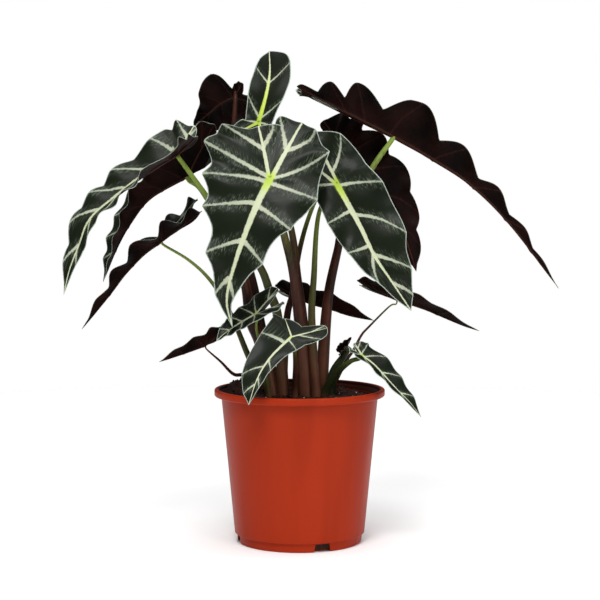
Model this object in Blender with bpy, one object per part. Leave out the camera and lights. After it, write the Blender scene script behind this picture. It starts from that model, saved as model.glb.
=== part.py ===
"""A potted alocasia: a plastic nursery pot, its soil, and sixteen arrow-shaped leaves on their stalks.

Metres, +Z up. The origin is on the pot's axis at the underside of its base, and the plant is seen best from -Y.
"""

import math

import bmesh
import bpy
import numpy as np

MM = 0.001

# Pot
POT_HEIGHT = 153 * MM
RIM_RADIUS = 85 * MM
RIM_DEPTH = 7 * MM
RIM_OVERHANG = 7 * MM
RIM_ROUND = 1.5 * MM
FOOT_RADIUS = 62 * MM
FOOT_HEIGHT = 9 * MM
FOOT_STEP = 3 * MM
FOOT_TUCK = 0.6 * MM
POT_WALL = 1.6 * MM
FLOOR_THICKNESS = 2 * MM
POT_SIDES = 40
NOTCH_WIDTH = 18 * MM
NOTCH_HEIGHT = 8 * MM
NOTCH_LENGTH = 14 * MM
NOTCH_TURNS = (21, 101, 201, 281)
SPARE = 1 * MM

# Soil
SOIL_DROP = 7 * MM
MOUND_HEIGHT = 15 * MM
MOUND_PLACE = (-56 * MM, 4 * MM)
MOUND_TOP = 12 * MM
MOUND_REACH = 24 * MM
DIP_START = 48 * MM
DIP_DEPTH = 5 * MM
SOIL_RINGS = 12
SOIL_SIDES = 36

# Blades and stalks
CLEARANCE = 0.3 * MM
BLADE_THICKNESS = 1.0 * MM
STALK_FOOT_RADIUS = 3.4 * MM
STALK_TOP_RADIUS = 1.9 * MM
VEIN_LEAN_BASE = math.radians(-6)
VEIN_LEAN_TIP = math.radians(48)
BODY_STEPS = 9
LOBE_STEPS = 3
ACROSS_STEPS = 3
STALK_STEPS = 10
STRAIGHT_END = 5 * MM
FOOT_SAMPLES = 8
FOOT_MARGIN = 1.5
USUAL_CORNERS = ((0.5, 0.25), (0.5, 0.25))
DROOP = 0.06
SEAM = 1e-6

# Each leaf, in millimetres and degrees:
#   rib: the midrib from the stalk's joint to the tip, heights measured from the pot's rim
#   face: where the upper side faces, at the joint and at the tip
#   left, right: half widths at the joint and at even steps along the rib, before the tip
#   lobes: length, spread from straight back and lift above the blade, of the left and of the right lobe
#   sinus: depth of the blade behind the joint, where the two lobes part
#   turn: how far the sinus is turned to the left of straight back
#   corners: how full the outer and the inner side of each lobe's end is, as a share of the half width at the joint
#   fold: how far each half stands up from flat, at the joint and at the tip
#   ripple: height of the margin's waves
#   veins: side veins on each half
#   stalk: the stalk's foot (x, y) and the points that it rises through, heights measured from the pot's rim
#   stout: the stalk's thickness, as a share of the usual one
LEAVES = {
    "front": dict(
        rib=[(-28, -62, 209), (-43, -73, 178), (-60, -80, 132), (-69, -78, 95), (-64, -72, 67)],
        face=[(-0.1, -1, 0.15), (-0.2, -1, 0.05)],
        left=(74, 63, 52, 38, 32, 22, 13, 6), right=(50, 53, 40, 32, 27, 18, 10, 5),
        lobes=[(56, 37, -6), (66, 3, -3)], sinus=34, turn=20, corners=((0.25, 0.65), (0.75, 0.95)),
        fold=(6, 14), ripple=3, veins=5,
        stalk=[(6, -7), (1, -12, 60), (-6, -22, 116), (-15, -34, 154), (-24, -48, 193)], stout=1.3,
    ),
    "right_front": dict(
        rib=[(36, -28, 204), (58, -40, 164), (72, -48, 135), (88, -52, 111), (108, -50, 81)],
        face=[(-0.1, -1, 0.3), (0.1, -1, 0.2)],
        left=(26, 27, 28, 26, 21, 17, 12, 7), right=(36, 40, 41, 41, 36, 30, 22, 12),
        lobes=[(44, 22, -6), (58, 4, -2)], sinus=30, corners=((0.5, 0.25), (0.5, 0.3)),
        fold=(8, 12), ripple=4, veins=5,
        stalk=[(16, -14), (12, -17, 71), (14, -19, 111), (19, -21, 175)], stout=0.85,
    ),
    "long_right": dict(
        rib=[(94, 20, 251), (135, 24, 228), (174, 28, 202), (214, 30, 162), (263, 32, 98)],
        face=[(0.3, 0.3, 1), (0.6, 0.3, 0.7)],
        left=(44, 46, 30, 23, 17, 13, 9, 5), right=(38, 40, 30, 24, 19, 15, 10, 6),
        lobes=[(112, 7, -9), (110, 8, -8)], sinus=60, corners=((0.1, 0.15), (0.1, 0.15)),
        fold=(46, 38), ripple=5, veins=6,
        stalk=[(22, 6), (26, 8, 61), (30, 10, 99), (38, 8, 137), (44, 6, 162), (71, 8, 217)], stout=1.15,
    ),
    "right_back": dict(
        rib=[(46, 52, 235), (85, 46, 199), (105, 38, 155), (118, 30, 115)],
        face=[(-0.2, 1, 0.4), (-0.1, 1, 0.1)],
        left=(38, 40, 35, 31, 27, 22, 17, 10), right=(30, 30, 24, 14),
        lobes=[(40, 14, 0), (34, 34, 0)], sinus=24,
        fold=(10, 14), ripple=4, veins=6,
        stalk=[(-17, 12), (-13, 16, 67), (-7, 24, 94), (0, 34, 137),
               (12, 44, 177), (32, 52, 219)],
        stout=0.75,
    ),
    "upper_left": dict(
        rib=[(-118, -45, 232), (-148, -50, 213), (-178, -57, 190), (-200, -63, 170),
             (-210, -67, 146), (-219, -70, 122), (-225, -70, 98)],
        face=[(-0.5, -0.4, 0.85), (-0.5, -1, 0.2)],
        left=(32, 27, 21, 14), right=(34, 34, 20, 12),
        lobes=[(34, 30, 0), (28, 30, 0)], sinus=14,
        fold=(40, 12), ripple=2.6, veins=5,
        stalk=[(-16, -13), (-21, -17, 69), (-29, -22, 97), (-40, -28, 125),
               (-68, -36, 159), (-92, -42, 195)],
        stout=1,
    ),
    "middle_left": dict(
        rib=[(-112, 8, 211), (-148, 2, 190), (-167, -4, 166), (-181, -10, 140), (-194, -14, 107)],
        face=[(-0.4, 0.25, 0.9), (-0.8, -0.45, 0.2)],
        left=(36, 32, 24, 14), right=(36, 30, 22, 14),
        lobes=[(56, 16, 4), (58, 34, 2)], sinus=20, corners=((0.5, 0.25), (0.3, 0.25)),
        fold=(52, 34), ripple=4, veins=5,
        stalk=[(-26, -4), (-39, -6, 45), (-49, -10, 70), (-55, -12, 109),
               (-74, -8, 158), (-97, 2, 197)],
        stout=1.2,
    ),
    "lower_left": dict(
        rib=[(-139, 22, 146), (-157, 22, 133), (-176, 20, 113), (-191, 18, 93), (-219, 14, 58)],
        face=[(-0.5, 0.1, 0.8), (-0.7, 0.1, 0.6)],
        left=(26, 26, 20, 12), right=(20, 20, 16, 11),
        lobes=[(56, 14, 8), (54, 14, -8)], sinus=18,
        fold=(36, 36), ripple=4.5, veins=3,
        stalk=[(-30, -18), (-48, -19, 29), (-62, -15, 62), (-75, -5, 88),
               (-92, 6, 111), (-112, 15, 128)],
        stout=0.6,
    ),
    "low_left": dict(
        rib=[(-92, -38, 47), (-106, -42, 42), (-121, -46, 37), (-136, -50, 32)],
        face=[(-0.3, 0.3, 1), (-0.4, 0.2, 1)],
        left=(18, 16, 12, 7), right=(18, 16, 12, 7),
        lobes=[(34, 16, 4), (30, 20, 2)], sinus=9,
        fold=(34, 30), ripple=1.6, veins=2,
        stalk=[(-56, 2), (-66, -6, 15), (-78, -20, 29)], stout=0.36,
    ),
    "low_centre": dict(
        rib=[(-42, -46, 78), (-60, -52, 68), (-72, -56, 60), (-80, -60, 53)],
        face=[(-0.4, -0.8, 0.9), (-0.4, -0.9, 0.7)],
        left=(16, 15, 12, 7), right=(16, 15, 12, 7),
        lobes=[(34, 18, 4), (30, 24, 0)], sinus=10,
        fold=(24, 22), ripple=1.2, veins=3,
        stalk=[(-30, -28), (-37, -34, 41), (-42, -40, 63)], stout=0.5,
    ),
    "over_rim": dict(
        rib=[(-8, -70, 58), (-28, -82, 39), (-40, -92, 20), (-48, -98, -4)],
        face=[(-0.1, -1, 0.5), (-0.2, -1, 0.2)],
        left=(27, 22, 19, 13), right=(17, 11, 9, 6),
        lobes=[(20, 60, -4), (36, 34, -4)], sinus=15, corners=((0.1, 0.3), (0.6, 0.3)),
        fold=(10, 14), ripple=1.5, veins=4,
        stalk=[(-5, -24), (-4, -30, 23), (-5, -46, 43), (-7, -60, 55)], stout=0.6,
    ),
    "low_right": dict(
        rib=[(60, -44, 38), (74, -50, 27), (90, -58, 10), (106, -64, -6), (117, -66, -20)],
        face=[(0.5, -0.6, 0.9), (0.8, -0.6, 0.5)],
        left=(12, 11, 9, 6), right=(16, 18, 15, 9),
        lobes=[(15, 24, 0), (15, 24, 0)], sinus=6,
        fold=(20, 14), ripple=0.8, veins=3,
        stalk=[(26, -10), (38, -22, 19), (50, -36, 31)], stout=0.9,
    ),
    "narrow_right": dict(
        rib=[(98, 12, 88), (125, 12, 79), (144, 10, 71), (163, 8, 63), (180, 6, 57)],
        face=[(0.2, 0.3, 1), (0.3, 0.25, 1)],
        left=(20, 18, 14, 8), right=(20, 18, 14, 8),
        lobes=[(46, 12, 0), (42, 14, 0)], sinus=12,
        fold=(26, 24), ripple=1.4, veins=2,
        stalk=[(33, 8), (46, 10, 25), (54, 11, 37), (62, 12, 52), (69, 12, 60), (90, 12, 81)], stout=0.36,
    ),
    "back_centre": dict(
        rib=[(13, 50, 81), (34, 52, 75), (52, 52, 69), (76, 50, 64)],
        face=[(0.1, 0.4, 1), (0.2, 0.4, 1)],
        left=(21, 20, 16, 9), right=(21, 20, 16, 9),
        lobes=[(44, 14, 0), (40, 16, 0)], sinus=12,
        fold=(36, 32), ripple=1.8, veins=2,
        stalk=[(8, 24), (8, 31, 37), (11, 44, 67)], stout=0.6,
    ),
    "top_centre": dict(
        rib=[(-40, -12, 264), (-33, 4, 291), (-30, 32, 315), (-31, 62, 339)],
        face=[(0, -0.8, 0.7), (0, -0.6, 0.9)],
        left=(16, 24, 27, 22), right=(14, 20, 19, 14),
        lobes=[(30, 24, 0), (34, 40, 0)], sinus=12, corners=((0.5, 0.25), (0.8, 0.25)),
        fold=(30, 34), ripple=2.5, veins=2,
        stalk=[(4, 8), (4, 7, 58), (-2, 5, 109), (-8, 0, 157), (-24, -8, 217)], stout=1,
    ),
    "top_left": dict(
        rib=[(-64, 12, 290), (-78, 14, 284), (-94, 16, 271), (-106, 18, 262)],
        face=[(-0.2, 1, 0.5), (-0.3, 1, 0.4)],
        left=(30, 34, 26, 12), right=(10, 26, 31, 25, 16, 12, 8, 5),
        lobes=[(16, 50, 0), (16, 40, 0)], sinus=8,
        fold=(16, 20), ripple=4, veins=3,
        stalk=[(-24, 6), (-38, 5, 58), (-45, 2, 98), (-54, -4, 138), (-67, 0, 207)], stout=1,
    ),
    "young": dict(
        rib=[(44, -8, 39), (48, -14, 46), (51, -18, 53)],
        face=[(-0.4, -0.8, 0.4), (-0.2, -0.9, 0.2)],
        left=(8, 9, 8, 5), right=(8, 9, 8, 5),
        lobes=[(6, 24, 0), (6, 24, 0)], sinus=3,
        fold=(66, 74), ripple=1, veins=3,
        stalk=[(30, -2), (35, -3, 19)], stout=1.2,
    ),
}


def material(name, colour, roughness, metallic=0.0):
    """A named Principled material."""
    made = bpy.data.materials.new(name)
    made.use_nodes = True
    shader = made.node_tree.nodes["Principled BSDF"]
    shader.inputs["Base Color"].default_value = (*colour, 1)
    shader.inputs["Roughness"].default_value = roughness
    shader.inputs["Metallic"].default_value = metallic
    return made


def add_object(name, data, finish):
    """Puts mesh or curve data into the scene as a named object with one material."""
    data.materials.append(finish)
    made = bpy.data.objects.new(name, data)
    bpy.context.scene.collection.objects.link(made)
    return made


def unit(vectors):
    return vectors / np.linalg.norm(vectors, axis=-1, keepdims=True)


def smooth_curve(points, places):
    """Catmull-Rom curve through the points, read at places from 0 to 1 that are evenly spaced in chord length."""
    points = np.asarray(points, float)
    ends = np.vstack([2 * points[0] - points[1], points, 2 * points[-1] - points[-2]])
    steps = np.linalg.norm(np.diff(points, axis=0), axis=1)
    reach = np.concatenate([[0], np.cumsum(steps)]) / steps.sum()
    span = np.clip(np.searchsorted(reach, places, side="right") - 1, 0, len(steps) - 1)
    t = ((places - reach[span]) / (reach[span + 1] - reach[span]))[:, None]
    before, start, end, after = (ends[span + k] for k in range(4))
    return 0.5 * (
        2 * start
        + (end - before) * t
        + (2 * before - 5 * start + 4 * end - after) * t**2
        + (3 * start - before - 3 * end + after) * t**3
    )


def half_widths(values, places):
    """Half widths at places from 0 to 1 along the rib: a smooth curve through the given ones and 0 at the tip."""
    values = np.asarray(values, float)
    known = np.array([2 * values[0] - values[1], *values, 0, -values[-1]])
    span = np.minimum((places * len(values)).astype(int), len(values) - 1)
    t = places * len(values) - span
    before, start, end, after = (known[span + k] for k in range(4))
    bend = (2 * before - 5 * start + 4 * end - after) * t**2
    return 0.5 * (2 * start + (end - before) * t + bend + (3 * start - before - 3 * end + after) * t**3)


def bezier(start, near_start, near_end, end, t):
    t = t[:, None]
    return (
        start * (1 - t) ** 3
        + 3 * near_start * t * (1 - t) ** 2
        + 3 * near_end * t**2 * (1 - t)
        + end * t**3
    )


def from_rim(points):
    """Points given in millimetres, with heights measured from the pot's rim."""
    return np.array(points, float) * MM + [0, 0, POT_HEIGHT]


def rib_frame(leaf, places):
    """Points of the midrib at places from 0 to 1, its direction there, and the direction its upper side faces."""
    points = from_rim(leaf["rib"])
    rib = smooth_curve(points, places)
    ahead = smooth_curve(points, np.clip(places + 0.01, 0, 1))
    behind = smooth_curve(points, np.clip(places - 0.01, 0, 1))
    along = unit(ahead - behind)
    start, end = (unit(np.array(face, float)) for face in leaf["face"])
    face = start + (end - start) * places[:, None]
    up = unit(face - (face * along).sum(axis=1, keepdims=True) * along)
    return rib, along, up


def half_blade(leaf, hand):
    """One half of a blade as rows of points: from the sinus round the lobe, then along the rib to the tip.

    Each row runs from the rib or the lobe's vein straight out to the margin, and droops and ripples towards it.
    """
    s = np.linspace(0, 1, BODY_STEPS + 1)
    rib, along, up = rib_frame(leaf, s)
    side = hand * np.cross(along, up)
    fold = np.radians(leaf["fold"][0] + (leaf["fold"][1] - leaf["fold"][0]) * s)[:, None]
    out = np.cos(fold) * side + np.sin(fold) * up
    lift = np.cos(fold) * up - np.sin(fold) * side
    lean = (VEIN_LEAN_BASE + (VEIN_LEAN_TIP - VEIN_LEAN_BASE) * s)[:, None]
    width = half_widths(leaf["left" if hand > 0 else "right"], s)[:, None] * MM
    margin = rib + width * (np.cos(lean) * out + np.sin(lean) * along)

    length, spread, rise = leaf["lobes"][0 if hand > 0 else 1]
    spread, rise = math.radians(spread), math.radians(rise)
    vein = math.sin(spread) * out[0] - math.cos(spread) * along[0]
    vein = math.cos(rise) * vein + math.sin(rise) * up[0]
    outward = unit(out[0] - (out[0] @ vein) * vein)
    joint = rib[0]
    tip = joint + length * MM * vein
    turn = math.radians(leaf.get("turn", 0))
    notch = joint + leaf["sinus"] * MM * (math.sin(turn) * hand * side[0] - math.cos(turn) * along[0])
    reach = (length - leaf["sinus"]) * MM
    q = np.linspace(0, 1, LOBE_STEPS + 1)
    shoulder, bulge = leaf.get("corners", USUAL_CORNERS)[0 if hand > 0 else 1]
    inner = bezier(notch, notch + 0.5 * reach * vein, tip - bulge * width[0] * outward, tip, q)
    outer = bezier(margin[0], margin[0] + 0.5 * length * MM * vein, tip + shoulder * width[0] * outward, tip, q)
    lobe_rib = joint + q[:, None] * length * MM * vein

    ribs = np.concatenate([lobe_rib, lobe_rib[-2:0:-1], rib])
    margins = np.concatenate([inner, outer[-2:0:-1], margin])
    seam = unit(up[0] * (1 - q)[:, None] + lift[0] * q[:, None])
    lifts = np.concatenate([seam, np.repeat(lift[:1], LOBE_STEPS - 1, axis=0), lift])
    wave = np.concatenate([1.5 * q, 1.5 * q[-2:0:-1], leaf["veins"] * s])
    reach = np.linalg.norm(margins - ribs, axis=1, keepdims=True)
    height = leaf["ripple"] * MM * np.cos(2 * math.pi * wave)[:, None] * np.tanh(reach / (3 * leaf["ripple"] * MM))
    height[0] = 0
    v = np.linspace(0, 1, ACROSS_STEPS + 1)[None, :, None]
    points = ribs[:, None] + v * (margins - ribs)[:, None]
    return points + v**2 * ((height - DROOP * reach) * lifts)[:, None]


def blade_mesh(name, leaf):
    """Both halves of a blade as one surface, sewn along the rib, the lobes' veins and the line to the sinus."""
    points = []
    faces = []
    for hand in (1, -1):
        grid = half_blade(leaf, hand)
        rows, columns = grid.shape[:2]
        index = np.arange(rows * columns).reshape(rows, columns) + sum(len(p) for p in points)
        quads = [index[:-1, :-1], index[:-1, 1:], index[1:, 1:], index[1:, :-1]]
        faces.append(np.stack(quads[::hand], axis=-1).reshape(-1, 4))
        points.append(grid.reshape(-1, 3))
    mesh = bpy.data.meshes.new(name)
    mesh.from_pydata(np.concatenate(points).tolist(), [], np.concatenate(faces).tolist())
    shape = bmesh.new()
    shape.from_mesh(mesh)
    bmesh.ops.remove_doubles(shape, verts=shape.verts, dist=SEAM)
    shape.to_mesh(mesh)
    shape.free()
    mesh.shade_smooth()
    return mesh


def make_blade(name, leaf, finish):
    blade = add_object(name, blade_mesh(name, leaf), finish)
    solid = blade.modifiers.new("thickness", "SOLIDIFY")
    solid.thickness = BLADE_THICKNESS
    solid.offset = 0


def make_stalk(name, leaf, finish):
    """A tapered tube from just above the soil, straight up at first, to just under the blade's joint."""
    joint, _, up = (row[0] for row in rib_frame(leaf, np.array([0.0])))
    foot = np.array([*leaf["stalk"][0], 0]) * MM
    foot[2] = foot_height(foot[0], foot[1], leaf["stout"] * STALK_FOOT_RADIUS) + CLEARANCE
    rising = [foot + [0, 0, STRAIGHT_END]]
    rising += list(from_rim(leaf["stalk"][1:]))
    rising.append(joint - up * STRAIGHT_END)
    path = smooth_curve(rising, np.linspace(0, 1, STALK_STEPS + 1))
    path = np.vstack([foot, path, joint - up * (BLADE_THICKNESS / 2 + CLEARANCE)])
    thin = np.linspace(1, 0, len(path)) ** 1.5
    radius = leaf["stout"] * (STALK_TOP_RADIUS + (STALK_FOOT_RADIUS - STALK_TOP_RADIUS) * thin)
    curve = bpy.data.curves.new(name, "CURVE")
    curve.dimensions = "3D"
    curve.bevel_depth = 1
    curve.bevel_resolution = 2
    curve.use_fill_caps = True
    spline = curve.splines.new("POLY")
    spline.points.add(len(path) - 1)
    for point, place, size in zip(spline.points, path, radius):
        point.co = (*place, 1)
        point.radius = size
    add_object(name, curve, finish)


def soil_height(x, y):
    """Height of the soil's top: level, with a flat-topped mound at one side and a dip round the wall."""
    away = math.hypot(x - MOUND_PLACE[0], y - MOUND_PLACE[1])
    slope = min(max((away - MOUND_TOP) / (MOUND_REACH - MOUND_TOP), 0), 1)
    dip = min(max((math.hypot(x, y) - DIP_START) / (soil_radius() - DIP_START), 0), 1)
    level = POT_HEIGHT - SOIL_DROP
    return level + MOUND_HEIGHT * (1 - slope * slope * (3 - 2 * slope)) - DIP_DEPTH * dip * dip


def wall_top_radius():
    """Outer radius of the wall where it meets the rim."""
    return RIM_RADIUS - RIM_OVERHANG


def inner_foot_radius():
    return FOOT_RADIUS - POT_WALL


def inner_wall_radius(height):
    """Inner radius of the pot's wall at a height, from the floor up to where the wall meets the rim."""
    top = POT_HEIGHT - RIM_DEPTH - 2 * RIM_ROUND
    share = (min(height, top) - FLOOR_THICKNESS) / (top - FLOOR_THICKNESS)
    return inner_foot_radius() + share * (wall_top_radius() - POT_WALL - inner_foot_radius())


def soil_radius():
    """The soil's radius at its top edge, clear of the flats of the pot's inner wall."""
    edge = POT_HEIGHT - SOIL_DROP - DIP_DEPTH
    return inner_wall_radius(edge) * math.cos(math.pi / POT_SIDES) - CLEARANCE


def foot_height(x, y, radius):
    """Height of the soil's highest point round a stalk's foot."""
    turns = [2 * math.pi * k / FOOT_SAMPLES for k in range(FOOT_SAMPLES)]
    reach = FOOT_MARGIN * radius
    return max(soil_height(x + reach * math.cos(turn), y + reach * math.sin(turn)) for turn in turns)


def turned(name, outline, sides):
    """The outline (radius, height), from the axis round to the axis, turned full circle about Z into a closed body."""
    shape = bmesh.new()
    verts = [shape.verts.new((r, 0, z)) for r, z in outline]
    edges = [shape.edges.new(pair) for pair in zip(verts, verts[1:])]
    bmesh.ops.spin(
        shape, geom=verts + edges, cent=(0, 0, 0), axis=(0, 0, 1), angle=2 * math.pi, steps=sides, use_merge=True
    )
    bmesh.ops.remove_doubles(shape, verts=shape.verts, dist=SEAM)
    bmesh.ops.recalc_face_normals(shape, faces=shape.faces)
    mesh = bpy.data.meshes.new(name)
    shape.to_mesh(mesh)
    shape.free()
    mesh.shade_smooth()
    mesh.set_sharp_from_angle(angle=math.radians(35))
    return mesh


def pot_outline():
    """Half section of the pot: foot band, step, sloping wall, rolled rim, and back down inside to the floor."""
    rim_under = POT_HEIGHT - RIM_DEPTH
    wall_top = wall_top_radius()
    lip = RIM_ROUND
    return [
        (0, 0),
        (FOOT_RADIUS, 0),
        (FOOT_RADIUS + FOOT_TUCK, FOOT_HEIGHT),
        (FOOT_RADIUS + FOOT_STEP, FOOT_HEIGHT + FOOT_TUCK),
        (wall_top, rim_under - lip),
        (RIM_RADIUS - lip, rim_under),
        (RIM_RADIUS, rim_under + lip),
        (RIM_RADIUS, POT_HEIGHT - lip),
        (RIM_RADIUS - lip, POT_HEIGHT),
        (RIM_RADIUS - 2.2 * lip, POT_HEIGHT),
        (RIM_RADIUS - 3 * lip, POT_HEIGHT - lip),
        (wall_top, rim_under + lip),
        (wall_top - POT_WALL, rim_under - 2 * lip),
        (inner_foot_radius(), FLOOR_THICKNESS),
        (0, FLOOR_THICKNESS),
    ]


def notch_cutter(turn):
    """A wedge that cuts one drain notch, wider at the bottom, through the wall's foot and the floor's edge."""
    low, high = NOTCH_WIDTH / 2, 0.8 * NOTCH_WIDTH / 2
    near, far = FOOT_RADIUS - NOTCH_LENGTH / 2, FOOT_RADIUS + NOTCH_LENGTH / 2
    corners = [(-low, -SPARE), (low, -SPARE), (high, NOTCH_HEIGHT), (-high, NOTCH_HEIGHT)]
    shape = bmesh.new()
    face = shape.faces.new([shape.verts.new((x, near, z)) for x, z in corners])
    raised = bmesh.ops.extrude_face_region(shape, geom=[face])["geom"]
    moved = [v for v in raised if isinstance(v, bmesh.types.BMVert)]
    bmesh.ops.translate(shape, verts=moved, vec=(0, far - near, 0))
    bmesh.ops.recalc_face_normals(shape, faces=shape.faces)
    mesh = bpy.data.meshes.new("notch_cutter")
    shape.to_mesh(mesh)
    shape.free()
    cutter = bpy.data.objects.new("notch_cutter", mesh)
    cutter.rotation_euler[2] = math.pi + turn
    cutter.hide_render = True
    cutter.display_type = "WIRE"
    bpy.context.scene.collection.objects.link(cutter)
    return cutter


def make_pot(finish):
    pot = add_object("pot", turned("pot", pot_outline(), POT_SIDES), finish)
    for turn in NOTCH_TURNS:
        cut = pot.modifiers.new("drain notch", "BOOLEAN")
        cut.operation = "DIFFERENCE"
        cut.solver = "EXACT"
        cut.object = notch_cutter(math.radians(turn))


def make_soil(finish):
    """The soil: a level-bottomed plug that fills the pot, whose top follows soil_height."""
    floor_radius = inner_foot_radius() * math.cos(math.pi / POT_SIDES) - CLEARANCE
    floor = FLOOR_THICKNESS + CLEARANCE
    rings = [(soil_radius() * k / SOIL_RINGS, None) for k in range(SOIL_RINGS + 1)]
    rings += [(floor_radius, floor), (0, floor)]
    points = []
    for k in range(SOIL_SIDES):
        turn = 2 * math.pi * k / SOIL_SIDES
        for radius, height in rings:
            x, y = radius * math.sin(turn), -radius * math.cos(turn)
            points.append((x, y, soil_height(x, y) if height is None else height))
    count = len(rings)
    faces = []
    for k in range(SOIL_SIDES):
        here, there = k * count, (k + 1) % SOIL_SIDES * count
        faces += [(here + j, there + j, there + j + 1, here + j + 1) for j in range(count - 1)]
    mesh = bpy.data.meshes.new("soil")
    mesh.from_pydata(points, [], faces)
    shape = bmesh.new()
    shape.from_mesh(mesh)
    bmesh.ops.remove_doubles(shape, verts=shape.verts, dist=SEAM)
    bmesh.ops.triangulate(shape, faces=shape.faces)
    bmesh.ops.recalc_face_normals(shape, faces=shape.faces)
    shape.to_mesh(mesh)
    shape.free()
    mesh.shade_smooth()
    add_object("soil", mesh, finish)


def main():
    for old in list(bpy.data.objects):
        bpy.data.objects.remove(old)
    make_pot(material("pot plastic", (0.39, 0.035, 0.013), 0.45))
    make_soil(material("potting soil", (0.03, 0.014, 0.01), 0.95))
    green = material("leaf", (0.012, 0.03, 0.02), 0.35)
    maroon = material("stalk", (0.07, 0.02, 0.015), 0.45)
    for name, leaf in LEAVES.items():
        make_blade("leaf_" + name, leaf, green)
        make_stalk("stalk_" + name, leaf, maroon)


main()
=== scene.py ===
"""The looks of the potted alocasia: fine leaf blades with raised ribs and white veins, tapered stalks, a
turned pot and crumbly soil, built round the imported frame. Metres, +Z up, the origin at the centre of the
pot's base."""

import math

import bmesh
import bpy
import numpy as np
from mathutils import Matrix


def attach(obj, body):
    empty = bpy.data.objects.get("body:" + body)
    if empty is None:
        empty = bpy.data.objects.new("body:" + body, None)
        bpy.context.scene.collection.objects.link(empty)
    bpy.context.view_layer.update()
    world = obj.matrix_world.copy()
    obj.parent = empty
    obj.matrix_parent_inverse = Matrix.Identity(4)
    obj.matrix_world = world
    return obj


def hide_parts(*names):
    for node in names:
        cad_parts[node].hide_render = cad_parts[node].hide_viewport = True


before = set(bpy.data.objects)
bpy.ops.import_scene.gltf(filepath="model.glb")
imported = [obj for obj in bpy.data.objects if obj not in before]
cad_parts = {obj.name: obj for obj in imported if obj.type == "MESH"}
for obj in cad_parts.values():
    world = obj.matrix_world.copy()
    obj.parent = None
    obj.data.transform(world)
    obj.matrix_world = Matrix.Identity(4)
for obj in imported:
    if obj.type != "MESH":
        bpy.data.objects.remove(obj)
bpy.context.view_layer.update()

MM = 0.001

# ---- the camera and the studio
CAMERA_DISTANCE = 1.668
CAMERA_HEIGHT = 0.358
CAMERA_TILT = math.radians(4.0)
CAMERA_LENS = 100.8
SENSOR = 36.0
CAMERA_SHIFT = 0.4 * MM
FLOOR_RADIUS = 1.3
FLOOR_SIDES = 64
FLOOR_DROP = 0.2 * MM
SURROUND_LIGHT = 0.14
OVERHEAD_LIGHT = 2.4

# ---- the pot and the soil
POT_HEIGHT = 153 * MM
RIM_RADIUS = 85 * MM
RIM_DEPTH = 7 * MM
RIM_ROUND = 1.6 * MM
WALL_TOP_RADIUS = 78 * MM
FOOT_RADIUS = 62 * MM
FOOT_HEIGHT = 9 * MM
FOOT_STEP = 3 * MM
POT_WALL = 1.6 * MM
FLOOR_THICKNESS = 2 * MM
NOTCH_WIDTH = 18 * MM
NOTCH_HEIGHT = 8 * MM
NOTCH_TURNS = (21, 101, 201, 281)
POT_SIDES = 192
SOIL_LEVEL = 146 * MM
MOUND_HEIGHT = 15 * MM
MOUND_PLACE = (-56 * MM, 4 * MM)
MOUND_TOP = 12 * MM
MOUND_REACH = 24 * MM
DIP_START = 48 * MM
DIP_DEPTH = 5 * MM
SOIL_RADIUS = 75.8 * MM
SOIL_WALL_TOP = 138 * MM
SOIL_RINGS, SOIL_SIDES = 70, 220
# Height, width and seed of each size of lump in the soil.
LUMPS = ((1.6 * MM, 11 * MM, 3), (0.9 * MM, 4.5 * MM, 5), (0.4 * MM, 1.8 * MM, 7))

# ---- the leaves
STALK_FOOT_RADIUS = 6.2 * MM
STALK_TOP_RADIUS = 2.1 * MM
STRAIGHT_END = 5 * MM
VEIN_LEAN_BASE = math.radians(-6)
VEIN_LEAN_TIP = math.radians(48)
DROOP = 0.06
PUCKER = 0.035
MOST_PUCKER = 1.3 * MM
VEIN_CURVE = 1.2
STALK_FLUTE = 0.05
# What a leaf has where LEAVES doesn't say.
SCALLOP = 0.06
CORNERS = ((0.5, 0.25), (0.5, 0.25))
LIME_REACH = 0.2
LOBE_VEINS = [(-1.45, -1.25), (-0.55, -0.7), (0, -0.15)]
# In millimetres, as the blades' attributes are: half widths of the markings, heights of the ribs beneath.
RIB_WIDTH, VEIN_WIDTH = 3.2, 1.9
UNDER_RIB_WIDTH, UNDER_VEIN_WIDTH = 1.7, 0.9
KEEL_HEIGHT, RIDGE_HEIGHT = 1.9, 0.7
GRID_STEP = 1.3 * MM
SEAM = 1e-7
STALK_SIDES = 20
STALK_RINGS = 120

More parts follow.
